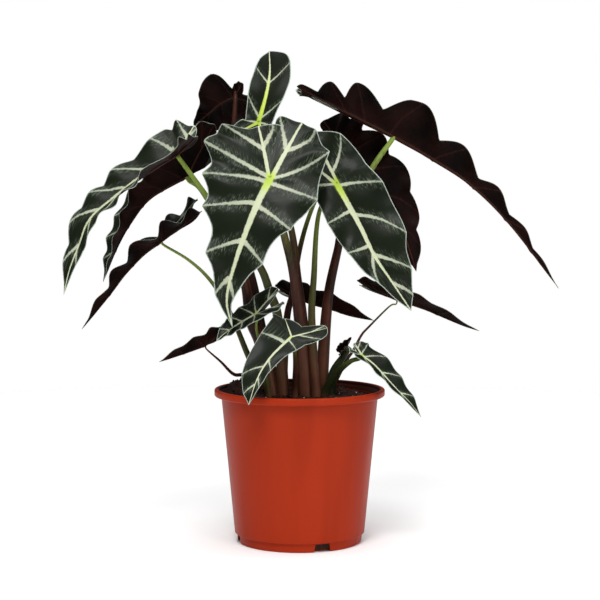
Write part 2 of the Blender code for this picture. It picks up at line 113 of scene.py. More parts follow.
# Each leaf, in millimetres and degrees. Its left and right are those of a leaf that hangs with its tip down
# and its upper side towards the viewer.
#   rib: the midrib from the stalk's joint to the tip, heights measured from the pot's rim
#   face: where the upper side faces, at the joint and at the tip
#   left, right: half widths at even steps along the rib, from the joint up to the last step before the tip
#   lobes: length, spread from straight back and lift above the blade, of the left and of the right lobe
#   sinus: depth of the blade behind the joint, where the two lobes part
#   turn: how far the sinus is turned to one side about the joint
#   corners: breadth of the lobe's end outside and inside its vein, as shares of the half width, of each lobe
#   fold: how far each half stands up from flat, at the joint and at the tip
#   ripple: height of the margin's waves
#   scallop: depth of the margin's round hollows between side veins, which leave a point at each vein's end,
#       as a share of the half width
#   humps: depth of the margin's sharp notches between side veins, which leave a round hump at each vein's
#       end, as a share of the half width
#   veins: how many side veins each half has, evenly spread, where the next two don't give them
#   left_veins, right_veins: where each side vein leaves the rib and meets the margin, as in side_veins
#   stalk: the stalk's foot (x, y) and the points that it rises through, heights measured from the pot's rim
#   stout: the stalk's thickness, as a share of the usual one
#   size: the veins' and the rib's width, as a share of the usual one
#   tone: how far up the stalk its maroon reaches, from 0 to 1
#   fresh: how bright the stalk's green gets towards its top, from 0 to 1
#   lime: how far along the rib its lime reaches, from 0 to 1
#   dull: whether the blade is still rolled up, with only its under side to see
LEAVES = {
    "front": dict(
        rib=[(-28, -62, 209), (-43, -73, 178), (-60, -80, 132), (-69, -78, 95), (-64, -72, 67)],
        face=[(-0.1, -1, 0.15), (-0.2, -1, 0.05)],
        left=(74, 63, 52, 38, 32, 22, 13, 6), right=(50, 53, 40, 32, 27, 18, 10, 5),
        lobes=[(56, 37, -6), (66, 3, -3)], sinus=34, turn=20, corners=((0.25, 0.65), (0.75, 0.95)),
        fold=(6, 14), ripple=3, scallop=0.14,
        left_veins=[
            (-1.4, -1.1), (-0.56, -0.5), (0, 0.01), (0.03, 0.15), (0.19, 0.28), (0.43, 0.5), (0.66, 0.74),
        ],
        right_veins=[
            (-1.5, -1.25), (-0.5, -0.85), (0, -0.5), (0.03, 0.04), (0.2, 0.24), (0.43, 0.47), (0.7, 0.76),
        ],
        stalk=[(6, -7), (1, -12, 60), (-6, -22, 116), (-15, -34, 154), (-24, -48, 193)],
        stout=1.3, size=1, tone=0.75, lime=0.15,
    ),
    "right_front": dict(
        rib=[(36, -28, 204), (58, -40, 164), (72, -48, 135), (88, -52, 111), (108, -50, 81)],
        face=[(-0.1, -1, 0.3), (0.1, -1, 0.2)],
        left=(26, 27, 28, 26, 21, 17, 12, 7), right=(36, 40, 41, 41, 36, 30, 22, 12),
        lobes=[(44, 22, -6), (58, 4, -2)], sinus=30, corners=((0.5, 0.25), (0.5, 0.3)),
        fold=(8, 12), ripple=4,
        left_veins=[(-1.4, -1.2), (-0.5, -0.6), (0, -0.2), (0.2, 0.2), (0.47, 0.42), (0.54, 0.68)],
        right_veins=[(-1.5, -1.3), (-0.2, -0.5), (0.02, 0.14), (0.24, 0.42), (0.55, 0.68), (0.78, 0.86)],
        stalk=[(16, -14), (12, -17, 71), (14, -19, 111), (19, -21, 175)],
        stout=0.85, size=0.8, tone=0.3,
    ),
    "long_right": dict(
        rib=[(94, 20, 251), (135, 24, 228), (174, 28, 202), (214, 30, 162), (263, 32, 98)],
        face=[(0.3, 0.3, 1), (0.6, 0.3, 0.7)],
        left=(44, 46, 30, 23, 17, 13, 9, 5), right=(38, 40, 30, 24, 19, 15, 10, 6),
        lobes=[(112, 7, -9), (110, 8, -8)], sinus=60, corners=((0.1, 0.15), (0.1, 0.15)),
        fold=(46, 38), ripple=5, scallop=0, humps=0.42,
        left_veins=[
            (-1.5, -1.4), (-0.82, -0.86), (-0.5, -0.55), (-0.3, -0.36), (-0.04, 0.05), (0.2, 0.28),
            (0.42, 0.5), (0.62, 0.7), (0.8, 0.87),
        ],
        right_veins=[
            (-1.5, -1.4), (-0.82, -0.86), (-0.5, -0.55), (-0.3, -0.36), (-0.05, 0.04), (0.17, 0.25),
            (0.4, 0.49), (0.62, 0.7), (0.8, 0.87),
        ],
        stalk=[(22, 6), (26, 8, 61), (30, 10, 99), (38, 8, 137), (44, 6, 162), (71, 8, 217)],
        stout=1.15, size=1, tone=0.8,
    ),
    "right_back": dict(
        rib=[(46, 52, 235), (85, 46, 199), (105, 38, 155), (118, 30, 115)],
        face=[(-0.2, 1, 0.4), (-0.1, 1, 0.1)],
        left=(38, 40, 35, 31, 27, 22, 17, 10), right=(30, 30, 24, 14),
        lobes=[(40, 14, 0), (34, 34, 0)], sinus=24,
        fold=(10, 14), ripple=4, scallop=0, humps=0.24, veins=6,
        left_veins=[
            (-1.4, -1.2), (-0.5, -0.6), (0, -0.1), (0.02, 0.12), (0.2, 0.32), (0.42, 0.55), (0.66, 0.78),
        ],
        stalk=[(-17, 12), (-13, 16, 67), (-7, 24, 94), (0, 34, 137), (12, 44, 177), (32, 52, 219)],
        stout=0.75, size=0.95, tone=0.6,
    ),
    "upper_left": dict(
        rib=[
            (-118, -45, 232), (-148, -50, 213), (-178, -57, 190), (-200, -63, 170), (-210, -67, 146),
            (-219, -70, 122), (-225, -70, 98),
        ],
        face=[(-0.5, -0.4, 0.85), (-0.5, -1, 0.2)],
        left=(32, 27, 21, 14), right=(34, 34, 20, 12),
        lobes=[(34, 30, 0), (28, 30, 0)], sinus=14,
        fold=(40, 12), ripple=2.6, scallop=0.02, humps=0.16, veins=5,
        left_veins=[
            (-1.4, -1.2), (-0.6, -0.5), (0, 0.08), (0.16, 0.3), (0.32, 0.45), (0.5, 0.6), (0.72, 0.8),
        ],
        stalk=[
            (-16, -13), (-21, -17, 69), (-29, -22, 97), (-40, -28, 125), (-68, -36, 159), (-92, -42, 195),
        ],
        stout=1, size=0.75, tone=0.2,
    ),
    "middle_left": dict(
        rib=[(-112, 8, 211), (-148, 2, 190), (-167, -4, 166), (-181, -10, 140), (-194, -14, 107)],
        face=[(-0.4, 0.25, 0.9), (-0.8, -0.45, 0.2)],
        left=(36, 32, 24, 14), right=(36, 30, 22, 14),
        lobes=[(56, 16, 4), (58, 34, 2)], sinus=20, corners=((0.5, 0.25), (0.3, 0.25)),
        fold=(52, 34), ripple=4, veins=5,
        stalk=[(-26, -4), (-39, -6, 45), (-49, -10, 70), (-55, -12, 109), (-74, -8, 158), (-97, 2, 197)],
        stout=1.2, size=0.6, tone=0.8,
    ),
    "lower_left": dict(
        rib=[(-139, 22, 146), (-157, 22, 133), (-176, 20, 113), (-191, 18, 93), (-219, 14, 58)],
        face=[(-0.5, 0.1, 0.8), (-0.7, 0.1, 0.6)],
        left=(26, 26, 20, 12), right=(20, 20, 16, 11),
        lobes=[(56, 14, 8), (54, 14, -8)], sinus=18,
        fold=(36, 36), ripple=4.5, scallop=0.02, humps=0.3, veins=3,
        stalk=[(-30, -18), (-48, -19, 29), (-62, -15, 62), (-75, -5, 88), (-92, 6, 111), (-112, 15, 128)],
        stout=0.6, size=0.5, tone=0.1,
    ),
    "low_left": dict(
        rib=[(-92, -38, 47), (-106, -42, 42), (-121, -46, 37), (-136, -50, 32)],
        face=[(-0.3, 0.3, 1), (-0.4, 0.2, 1)],
        left=(18, 16, 12, 7), right=(18, 16, 12, 7),
        lobes=[(34, 16, 4), (30, 20, 2)], sinus=9,
        fold=(34, 30), ripple=1.6, veins=2,
        stalk=[(-56, 2), (-66, -6, 15), (-78, -20, 29)],
        stout=0.36, size=0.45, tone=1.2,
    ),
    "low_centre": dict(
        rib=[(-42, -46, 78), (-60, -52, 68), (-72, -56, 60), (-80, -60, 53)],
        face=[(-0.4, -0.8, 0.9), (-0.4, -0.9, 0.7)],
        left=(16, 15, 12, 7), right=(16, 15, 12, 7),
        lobes=[(34, 18, 4), (30, 24, 0)], sinus=10,
        fold=(24, 22), ripple=1.2, veins=3,
        stalk=[(-30, -28), (-37, -34, 41), (-42, -40, 63)],
        stout=0.5, size=0.4, tone=0.1, lime=0.04,
    ),
    "over_rim": dict(
        rib=[(-8, -70, 58), (-28, -82, 39), (-40, -92, 20), (-48, -98, -4)],
        face=[(-0.1, -1, 0.5), (-0.2, -1, 0.2)],
        left=(27, 22, 19, 13), right=(17, 11, 9, 6),
        lobes=[(20, 60, -4), (36, 34, -4)], sinus=15, corners=((0.1, 0.3), (0.6, 0.3)),
        fold=(10, 14), ripple=1.5,
        left_veins=[(0.12, 0.2), (0.5, 0.62), (0.75, 0.82)],
        right_veins=[(-1.4, -1.2), (-0.2, -0.4), (0.05, 0.1), (0.4, 0.48), (0.66, 0.74)],
        stalk=[(-5, -24), (-4, -30, 23), (-5, -46, 43), (-7, -60, 55)],
        stout=0.6, size=0.38, tone=0.6, lime=0.02,
    ),
    "low_right": dict(
        rib=[(60, -44, 38), (74, -50, 27), (90, -58, 10), (106, -64, -6), (117, -66, -20)],
        face=[(0.5, -0.6, 0.9), (0.8, -0.6, 0.5)],
        left=(12, 11, 9, 6), right=(16, 18, 15, 9),
        lobes=[(15, 24, 0), (15, 24, 0)], sinus=6,
        fold=(20, 14), ripple=0.8, veins=3,
        stalk=[(26, -10), (38, -22, 19), (50, -36, 31)],
        stout=0.9, size=0.42, tone=0.1, fresh=0.3, lime=0.04,
    ),
    "narrow_right": dict(
        rib=[(98, 12, 88), (125, 12, 79), (144, 10, 71), (163, 8, 63), (180, 6, 57)],
        face=[(0.2, 0.3, 1), (0.3, 0.25, 1)],
        left=(20, 18, 14, 8), right=(20, 18, 14, 8),
        lobes=[(46, 12, 0), (42, 14, 0)], sinus=12,
        fold=(26, 24), ripple=1.4, veins=2,
        stalk=[(33, 8), (46, 10, 25), (54, 11, 37), (62, 12, 52), (69, 12, 60), (90, 12, 81)],
        stout=0.36, size=0.5, tone=0.9,
    ),
    "back_centre": dict(
        rib=[(13, 50, 81), (34, 52, 75), (52, 52, 69), (76, 50, 64)],
        face=[(0.1, 0.4, 1), (0.2, 0.4, 1)],
        left=(21, 20, 16, 9), right=(21, 20, 16, 9),
        lobes=[(44, 14, 0), (40, 16, 0)], sinus=12,
        fold=(36, 32), ripple=1.8, veins=2,
        stalk=[(8, 24), (8, 31, 37), (11, 44, 67)],
        stout=0.6, size=0.5, tone=0.7,
    ),
    "top_centre": dict(
        rib=[(-40, -12, 264), (-33, 4, 291), (-30, 32, 315), (-31, 62, 339)],
        face=[(0, -0.8, 0.7), (0, -0.6, 0.9)],
        left=(16, 24, 27, 22), right=(14, 20, 19, 14),
        lobes=[(30, 24, 0), (34, 40, 0)], sinus=12, corners=((0.5, 0.25), (0.8, 0.25)),
        fold=(30, 34), ripple=2.5, veins=2,
        stalk=[(4, 8), (4, 7, 58), (-2, 5, 109), (-8, 0, 157), (-24, -8, 217)],
        stout=1, size=0.7, tone=0.6, lime=0.85,
    ),
    "top_left": dict(
        rib=[(-64, 12, 290), (-78, 14, 284), (-94, 16, 271), (-106, 18, 262)],
        face=[(-0.2, 1, 0.5), (-0.3, 1, 0.4)],
        left=(30, 34, 26, 12), right=(10, 26, 31, 25, 16, 12, 8, 5),
        lobes=[(16, 50, 0), (16, 40, 0)], sinus=8,
        fold=(16, 20), ripple=4, veins=3,
        stalk=[(-24, 6), (-38, 5, 58), (-45, 2, 98), (-54, -4, 138), (-67, 0, 207)],
        stout=1, size=0.45, tone=1.3,
    ),
    "young": dict(
        rib=[(44, -8, 39), (48, -14, 46), (51, -18, 53)],
        face=[(-0.4, -0.8, 0.4), (-0.2, -0.9, 0.2)],
        left=(8, 9, 8, 5), right=(8, 9, 8, 5),
        lobes=[(6, 24, 0), (6, 24, 0)], sinus=3,
        fold=(66, 74), ripple=1, veins=3,
        stalk=[(30, -2), (35, -3, 19)],
        stout=1.2, size=0.2, tone=-0.3, fresh=0.1, dull=True,
    ),
}


# ---- curves and grids
def unit(vectors):
    return vectors / np.linalg.norm(vectors, axis=-1, keepdims=True)


def cubic(before, start, end, after, t):
    """Catmull-Rom cubic from start to end, whose ends run parallel to the chord joining each one's two
    neighbours."""
    bend = (2 * before - 5 * start + 4 * end - after) * t**2
    return 0.5 * (2 * start + (end - before) * t + bend + (3 * start - before - 3 * end + after) * t**3)


def smooth_curve(points, places):
    """The cubic through each pair of the points in turn, read at places from 0 to 1 spaced along its
    chords."""
    points = np.asarray(points, float)
    ends = np.vstack([2 * points[0] - points[1], points, 2 * points[-1] - points[-2]])
    steps = np.linalg.norm(np.diff(points, axis=0), axis=1)
    reach = np.concatenate([[0], np.cumsum(steps)]) / steps.sum()
    span = np.clip(np.searchsorted(reach, places, side="right") - 1, 0, len(steps) - 1)
    t = ((places - reach[span]) / (reach[span + 1] - reach[span]))[:, None]
    return cubic(*(ends[span + k] for k in range(4)), t)


def half_widths(values, places):
    """Half widths at places from 0 to 1 along the rib: the cubic through the given ones and 0 at the tip."""
    values = np.asarray(values, float)
    known = np.array([2 * values[0] - values[1], *values, 0, -values[-1]])
    span = np.minimum((places * len(values)).astype(int), len(values) - 1)
    return cubic(*(known[span + k] for k in range(4)), places * len(values) - span)


def bezier(start, near_start, near_end, end, t):
    """Cubic Bezier curve: the four points weighted by the Bernstein polynomials of t."""
    t = t[:, None]
    middle = 3 * near_start * t * (1 - t) ** 2 + 3 * near_end * t**2 * (1 - t)
    return start * (1 - t) ** 3 + middle + end * t**3


def value_noise(x, y, seed, size=64):
    """Smooth noise from -1 to 1 over the plane: random values at whole numbers, eased between along x, then
    y."""
    table = np.random.default_rng(seed).uniform(-1, 1, (size, size))
    column, row = np.floor(x).astype(int), np.floor(y).astype(int)
    across, up = x - column, y - row
    across, up = across**2 * (3 - 2 * across), up**2 * (3 - 2 * up)
    corner = [table[(column + i) % size, (row + j) % size] for i in (0, 1) for j in (0, 1)]
    low = corner[0] * (1 - across) + corner[2] * across
    high = corner[1] * (1 - across) + corner[3] * across
    return low * (1 - up) + high * up


def grid_quads(rows, columns, start=0, wrap=False):
    """Corner indices of a grid's quads, row by row; wrap joins the last column to the first."""
    index = np.arange(rows * columns).reshape(rows, columns) + start
    if wrap:
        index = np.hstack([index, index[:, :1]])
    return np.stack([index[:-1, :-1], index[:-1, 1:], index[1:, 1:], index[1:, :-1]], axis=-1).reshape(-1, 4)


def halves(quads):
    """The two triangles of each quad."""
    return np.concatenate([quads[:, [0, 1, 2]], quads[:, [0, 2, 3]]])


def closed_rings(rings, start, end):
    """Points and outward triangles of rings (row, side, xyz), joined side to side and drawn in to a point at
    each end. The rings' points go anticlockwise about the way that the rows advance."""
    rows, sides = rings.shape[:2]
    points = np.concatenate([rings.reshape(-1, 3), [start, end]])
    first = np.arange(sides)
    last = first + (rows - 1) * sides
    start_cap = np.stack([np.full(sides, rows * sides), np.roll(first, -1), first], axis=1)
    end_cap = np.stack([np.full(sides, rows * sides + 1), last, np.roll(last, -1)], axis=1)
    return points, np.concatenate([halves(grid_quads(rows, sides, wrap=True)), start_cap, end_cap])


def round_axis(radius, sides):
    """x and y of evenly spaced points at this radius from the pot's axis, anticlockwise from the front."""
    turn = np.linspace(0, 2 * math.pi, sides, endpoint=False)
    return radius * np.sin(turn), -radius * np.cos(turn)


def add_object(name, data):
    made = bpy.data.objects.new(name, data)
    bpy.context.scene.collection.objects.link(made)
    return made


def spun(points, turn):
    """Points turned about the pot's axis."""
    x, y, z = np.moveaxis(points, -1, 0)
    cos, sin = np.cos(turn), np.sin(turn)
    return np.stack([x * cos - y * sin, x * sin + y * cos, z], axis=-1)


def lay_mesh(name, points, faces, corners=None, slots=None):
    """A smooth mesh object from arrays of points and like-sided faces, with vectors kept at the faces'
    corners."""
    mesh = bpy.data.meshes.new(name)
    mesh.vertices.add(len(points))
    mesh.vertices.foreach_set("co", np.asarray(points, np.float32).ravel())
    mesh.loops.add(faces.size)
    mesh.loops.foreach_set("vertex_index", np.asarray(faces, np.int32).ravel())
    mesh.polygons.add(len(faces))
    mesh.polygons.foreach_set("loop_start", np.arange(0, faces.size, faces.shape[1], dtype=np.int32))
    if slots is not None:
        mesh.polygons.foreach_set("material_index", np.asarray(slots, np.int32))
    mesh.update(calc_edges=True)
    for title, values in (corners or {}).items():
        kept = mesh.attributes.new(title, "FLOAT_VECTOR", "CORNER")
        kept.data.foreach_set("vector", np.asarray(values, np.float32).ravel())
    mesh.shade_smooth()
    return add_object(name, mesh)


def point_normals(points, triangles):
    """Each point's normal: the sum of its triangles' area vectors, made one long."""
    edges = points[triangles[:, 1:]] - points[triangles[:, :1]]
    area = np.cross(edges[:, 0], edges[:, 1])
    total = np.zeros_like(points)
    for corner in range(3):
        np.add.at(total, triangles[:, corner], area)
    return total / np.maximum(np.linalg.norm(total, axis=1, keepdims=True), 1e-20)


# ---- leaf blades
def from_rim(points):
    """Points given in millimetres, with heights measured from the pot's rim."""
    return np.array(points, float) * MM + [0, 0, POT_HEIGHT]


def rib_frame(leaf, places):
    """Points of the midrib at places from 0 to 1, its direction there, and where its upper side faces."""
    points = from_rim(leaf["rib"])
    rib = smooth_curve(points, places)
    ahead = smooth_curve(points, np.clip(places + 0.01, 0, 1))
    behind = smooth_curve(points, np.clip(places - 0.01, 0, 1))
    along = unit(ahead - behind)
    start, end = (unit(np.array(face, float)) for face in leaf["face"])
    face = start + (end - start) * places[:, None]
    up = unit(face - (face * along).sum(axis=1, keepdims=True) * along)
    return rib, along, up


def side_veins(leaf, hand):
    """Where each side vein leaves the rib and where it meets the margin, in order, both along the blade's
    edge: 0 to 1 from joint to tip, 0 to -1 out along the lobe, and -1 to -2 back to the sinus inside it."""
    given = leaf.get("left_veins" if hand > 0 else "right_veins")
    if given is None:
        body = 0.04 + 0.92 * (np.arange(leaf["veins"]) / leaf["veins"]) ** 1.08
        met = body + 0.16 * (1 - body)
        given = LOBE_VEINS + list(zip(body, met))
    ends = np.array([(-2.4, -2.4), *given, (1.08, 1.08)])
    return ends[:, 0], ends[:, 1]


def vein_count(leaf, hand, edge, v):
    """A whole number on each side vein and fractions between them, for every row (its place along the edge)
    and every column (v): a vein is the line start + (end - start) * v to the power VEIN_CURVE."""
    start, end = side_veins(leaf, hand)
    lines = start[:, None] + (end - start)[:, None] * v**VEIN_CURVE
    order = np.arange(len(start))
    return np.stack([np.interp(edge, line, order) for line in lines.T], axis=1)


def steps_between(points, count):
    """Millimetres from one whole count to the next at each grid point: one over the count's slope on the
    surface, from its slopes along rows and columns and the surface's own metric."""
    by_row, by_column = np.gradient(points, axis=(0, 1))
    count_row, count_column = np.gradient(count)
    e, f, g = (by_row**2).sum(-1), (by_row * by_column).sum(-1), (by_column**2).sum(-1)
    area = np.maximum(e * g - f * f, 1e-16)
    slope = g * count_row**2 - 2 * f * count_row * count_column + e * count_column**2
    slope = np.sqrt(np.maximum(slope, 0) / area)
    return np.clip(1 / np.maximum(slope, 1e-9) / MM, 0, 60)


def half_blade(leaf, hand, seed):
    """One half of a blade on a grid: rows go from the sinus round the lobe and along the rib to the tip,
    columns from the rib or the lobe's vein (v = 0) straight out to the margin (v = 1).

    A point is rib + v * (margin - rib), and is then lifted across the blade by the margin's ripple, a power
    of v times the cosine of the vein count at the margin; by the puckers between side veins, the sine of the
    count squared; and by the droop. Half way between side veins the margin is drawn in, smoothly by scallop
    times the sine of the count and to a notch by humps times one less its cosine.
    Returns the points, what the veins' pattern reads (vein count, millimetres from one side vein to the next,
    v) and what the ribs read (millimetres from the rib and to the margin, share of the way from joint to
    tip).
    """
    half = 0 if hand > 0 else 1
    length = np.linalg.norm(np.diff(np.array(leaf["rib"]), axis=0), axis=1).sum() * MM
    body = int(np.clip(length / GRID_STEP, 24, 150))
    lobe_length, spread, rise = leaf["lobes"][half]
    lobe = int(np.clip(lobe_length * MM / GRID_STEP, 12, 70))
    wide = max(leaf["left"][0], leaf["right"][0]) * MM
    columns = int(np.clip(wide / GRID_STEP, 10, 40)) + 1

    s = np.linspace(0, 1, body + 1)
    q = np.linspace(0, 1, lobe + 1)
    v = np.linspace(0, 1, columns)
    back = slice(-2, 0, -1)
    edge = np.concatenate([q - 2, -q[back], s])
    count = vein_count(leaf, hand, edge, v)
    met = count[:, -1]
    drawn_in = 1 - leaf.get("scallop", SCALLOP) * np.abs(np.sin(math.pi * met))
    drawn_in = drawn_in - leaf.get("humps", 0) * (1 - np.abs(np.cos(math.pi * met)))

    rib, along, up = rib_frame(leaf, s)
    side = hand * np.cross(along, up)
    fold = np.radians(leaf["fold"][0] + (leaf["fold"][1] - leaf["fold"][0]) * s)[:, None]
    out = np.cos(fold) * side + np.sin(fold) * up
    lift = np.cos(fold) * up - np.sin(fold) * side
    lean = (VEIN_LEAN_BASE + (VEIN_LEAN_TIP - VEIN_LEAN_BASE) * s)[:, None]
    width = half_widths(leaf["left" if hand > 0 else "right"], s)[:, None] * MM
    margin = rib + width * (np.cos(lean) * out + np.sin(lean) * along)

    spread, rise = math.radians(spread), math.radians(rise)
    vein = math.sin(spread) * out[0] - math.cos(spread) * along[0]
    vein = math.cos(rise) * vein + math.sin(rise) * up[0]
    outward = unit(out[0] - (out[0] @ vein) * vein)
    joint = rib[0]
    end = joint + lobe_length * MM * vein
    turn = math.radians(leaf.get("turn", 0))
    back_way = math.sin(turn) * hand * side[0] - math.cos(turn) * along[0]
    notch = joint + leaf["sinus"] * MM * back_way
    reach = (lobe_length - leaf["sinus"]) * MM
    shoulder, bulge = leaf.get("corners", CORNERS)[half]
    inner = bezier(notch, notch + 0.5 * reach * vein, end - bulge * width[0] * outward, end, q)
    outer = margin[0] + 0.5 * (end - joint)
    outer = bezier(margin[0], outer, end + shoulder * width[0] * outward, end, q)
    lobe_rib = joint + q[:, None] * (end - joint)

    ribs = np.concatenate([lobe_rib, lobe_rib[back], rib])
    margins = np.concatenate([inner, outer[back], margin])
    calm_seam = np.concatenate([np.linspace(0, 1, lobe + 1), np.ones(len(ribs) - lobe - 1)])
    margins = ribs + (margins - ribs) * (1 + (drawn_in - 1) * calm_seam)[:, None]
    seam = unit(up[0] * (1 - q)[:, None] + lift[0] * q[:, None])
    lifts = np.concatenate([seam, np.repeat(lift[:1], lobe - 1, axis=0), lift])
    share = np.concatenate([-q, -q[back], s])
    rows = len(ribs)
    reach = np.linalg.norm(margins - ribs, axis=1)

    size = leaf["ripple"] * MM
    calm = np.tanh(reach / (3 * size)) * calm_seam * (1 - np.clip(share, 0, 1)) ** 0.35
    wave = np.cos(2 * math.pi * met + 0.36 * hand) + 0.4 * np.sin(2.3 * math.pi * met + seed + 0.9 * hand)
    ripple = (size * calm * wave)[:, None] * v**2.2
    pucker = np.minimum(PUCKER * reach, MOST_PUCKER)[:, None] * np.sin(math.pi * count) ** 2 * calm[:, None]
    pucker = pucker * np.sin(math.pi * np.clip(v * 1.05, 0, 1)) ** 0.7
    droop = DROOP * reach[:, None] * v**2
    points = ribs[:, None] + v[:, None] * (margins - ribs)[:, None]
    points = points + (ripple + pucker - droop)[..., None] * lifts[:, None]
    flat = np.ones((rows, columns))
    veining = np.stack([count, steps_between(points, count), v * flat], axis=-1)
    from_rib = reach[:, None] * v / MM
    measure = np.stack([from_rib, reach[:, None] * (1 - v) / MM, share[:, None] * flat], axis=-1)
    return points, veining, measure


def blade_depth(veining, measure, size):
    """Thickness of the blade at each point, in metres: thin at the margin, a round keel under the rib that
    tapers to the tip, and a low ridge under each side vein. Keel and ridge are bell curves of the
    distance."""
    count, spacing, v = veining.T
    from_rib, to_margin, share = measure.T
    taper = np.clip(1 - np.abs(share), 0, 1) ** 0.6
    keel = KEEL_HEIGHT * size * taper * np.exp(-((from_rib / (0.6 + 2.0 * size * taper)) ** 2))
    from_vein = np.abs(count - np.round(count)) * spacing
    ridge = RIDGE_HEIGHT * size * (1 - v) * np.exp(-((from_vein / 1.1) ** 2)) * (share > 0)
    web = 0.35 + 0.35 * np.clip(to_margin / 5, 0, 1)
    return (web + keel + ridge) * MM


def make_blade(name, leaf, seed):
    """A whole blade: both halves' grids as triangles, sewn where they meet, with an under side set off by the
    blade's depth along the normals and a narrow rim between the two."""
    points, veining, measure, quads = [], [], [], []
    for hand in (1, -1):
        grid, veins, sizes = half_blade(leaf, hand, seed)
        faces = grid_quads(*grid.shape[:2], start=sum(len(p) for p in points))
        quads.append(faces if hand > 0 else faces[:, ::-1])
        points.append(grid.reshape(-1, 3))
        veining.append(veins.reshape(-1, 3))
        measure.append(sizes.reshape(-1, 3))
    points, veining, measure = (np.concatenate(part) for part in (points, veining, measure))
    quads = np.concatenate(quads)
    corners = halves(quads)
    _, first, sewn = np.unique(np.round(points / SEAM), axis=0, return_index=True, return_inverse=True)
    top = sewn.ravel()[corners]
    whole = (top[:, 0] != top[:, 1]) & (top[:, 1] != top[:, 2]) & (top[:, 2] != top[:, 0])
    top, corners = top[whole], corners[whole]
    upper = points[first]
    depth = blade_depth(veining[first], measure[first], leaf["size"])
    lower = upper - point_normals(upper, top) * depth[:, None]

    under = top[:, ::-1] + len(upper)
    edges = np.concatenate([top[:, [0, 1]], top[:, [1, 2]], top[:, [2, 0]]])
    at = np.concatenate([corners[:, [0, 1]], corners[:, [1, 2]], corners[:, [2, 0]]])
    _, index, times = np.unique(np.sort(edges, axis=1), axis=0, return_inverse=True, return_counts=True)
    open_edge = times[index.ravel()] == 1
    start, stop = edges[open_edge].T
    start_at, stop_at = at[open_edge].T
    rim = np.concatenate([
        np.stack([stop, start, start + len(upper)], axis=1),
        np.stack([stop, start + len(upper), stop + len(upper)], axis=1),
    ])
    rim_at = np.concatenate([
        np.stack([stop_at, start_at, start_at], axis=1),
        np.stack([stop_at, start_at, stop_at], axis=1),
    ])
    read = np.concatenate([corners, corners[:, ::-1], rim_at])
    return lay_mesh(
        name,
        np.concatenate([upper, lower]),
        np.concatenate([top, under, rim]),
        corners={"veining": veining[read], "measure": measure[read]},
        slots=np.repeat([0, 1, 0], [len(top), len(under), len(rim)]),
    )


# ---- stalks
def tube(name, path, radius, marks):
    """A closed tube along a path: each ring is path + radius * (cos a * across + sin a * over), where across
    is square to the path and to one fixed direction, and each end is drawn in to a point just past the last
    ring. Its corners keep how far up the path they are, from 0 to 1, and the two marks."""
    along = unit(np.gradient(path, axis=0))
    bend = np.cross(along[0], along[-1])
    fixed = bend if np.linalg.norm(bend) > 0.15 else np.array([0.2, 1.0, 0.1])
    across = unit(np.cross(along, unit(fixed)))[:, None]
    over = np.cross(along[:, None], across)
    turn = np.linspace(0, 2 * math.pi, STALK_SIDES, endpoint=False)[None, :, None]
    rings = path[:, None] + radius * (np.cos(turn) * across + np.sin(turn) * over)
    points, triangles = closed_rings(rings, path[0] - along[0] * MM / 2, path[-1] + along[-1] * MM / 2)
    rise = np.append(np.repeat(np.linspace(0, 1, len(path)), STALK_SIDES), [0, 1])
    kept = np.stack([rise, np.full_like(rise, marks[0]), np.full_like(rise, marks[1])], axis=1)
    return lay_mesh(name, points, triangles, corners={"stalk": kept[triangles]})


def make_stalk(name, leaf, seed):
    """A stalk: a tapered tube, a little fluted and thicker where it leaves the soil, that runs from inside
    the soil up into the keel under the blade's joint."""
    joint, _, up = (row[0] for row in rib_frame(leaf, np.array([0.0])))
    foot = np.array([*leaf["stalk"][0], 0]) * MM
    foot[2] = soil_height(foot[0], foot[1])
    rising = [foot - [0, 0, STRAIGHT_END], foot + [0, 0, STRAIGHT_END]]
    rising += list(from_rim(leaf["stalk"][1:]))
    rising += [joint - up * STRAIGHT_END, joint - up * 0.6 * MM]
    rise = np.linspace(0, 1, STALK_RINGS)
    path = smooth_curve(rising, rise)
    turn = np.linspace(0, 2 * math.pi, STALK_SIDES, endpoint=False)
    thick = leaf["stout"] * (STALK_TOP_RADIUS + (STALK_FOOT_RADIUS - STALK_TOP_RADIUS) * (1 - rise) ** 1.3)
    flute = 1 + STALK_FLUTE * np.cos(3 * turn + seed)[None, :] * (1 - 0.5 * rise)[:, None]
    radius = (thick[:, None] * flute)[..., None]
    return tube(name, path, radius, (leaf["tone"], leaf.get("fresh", 1)))


# ---- pot and soil
def arc(centre, radius, start, stop, count):
    """Points (radius, height) on a circular arc between two angles in degrees."""
    turn = np.radians(np.linspace(start, stop, count))
    return np.stack([centre[0] + radius * np.cos(turn), centre[1] + radius * np.sin(turn)], axis=1)


def straight(start, stop, count):
    return np.array(start) + (np.array(stop) - np.array(start)) * np.linspace(0, 1, count)[:, None]


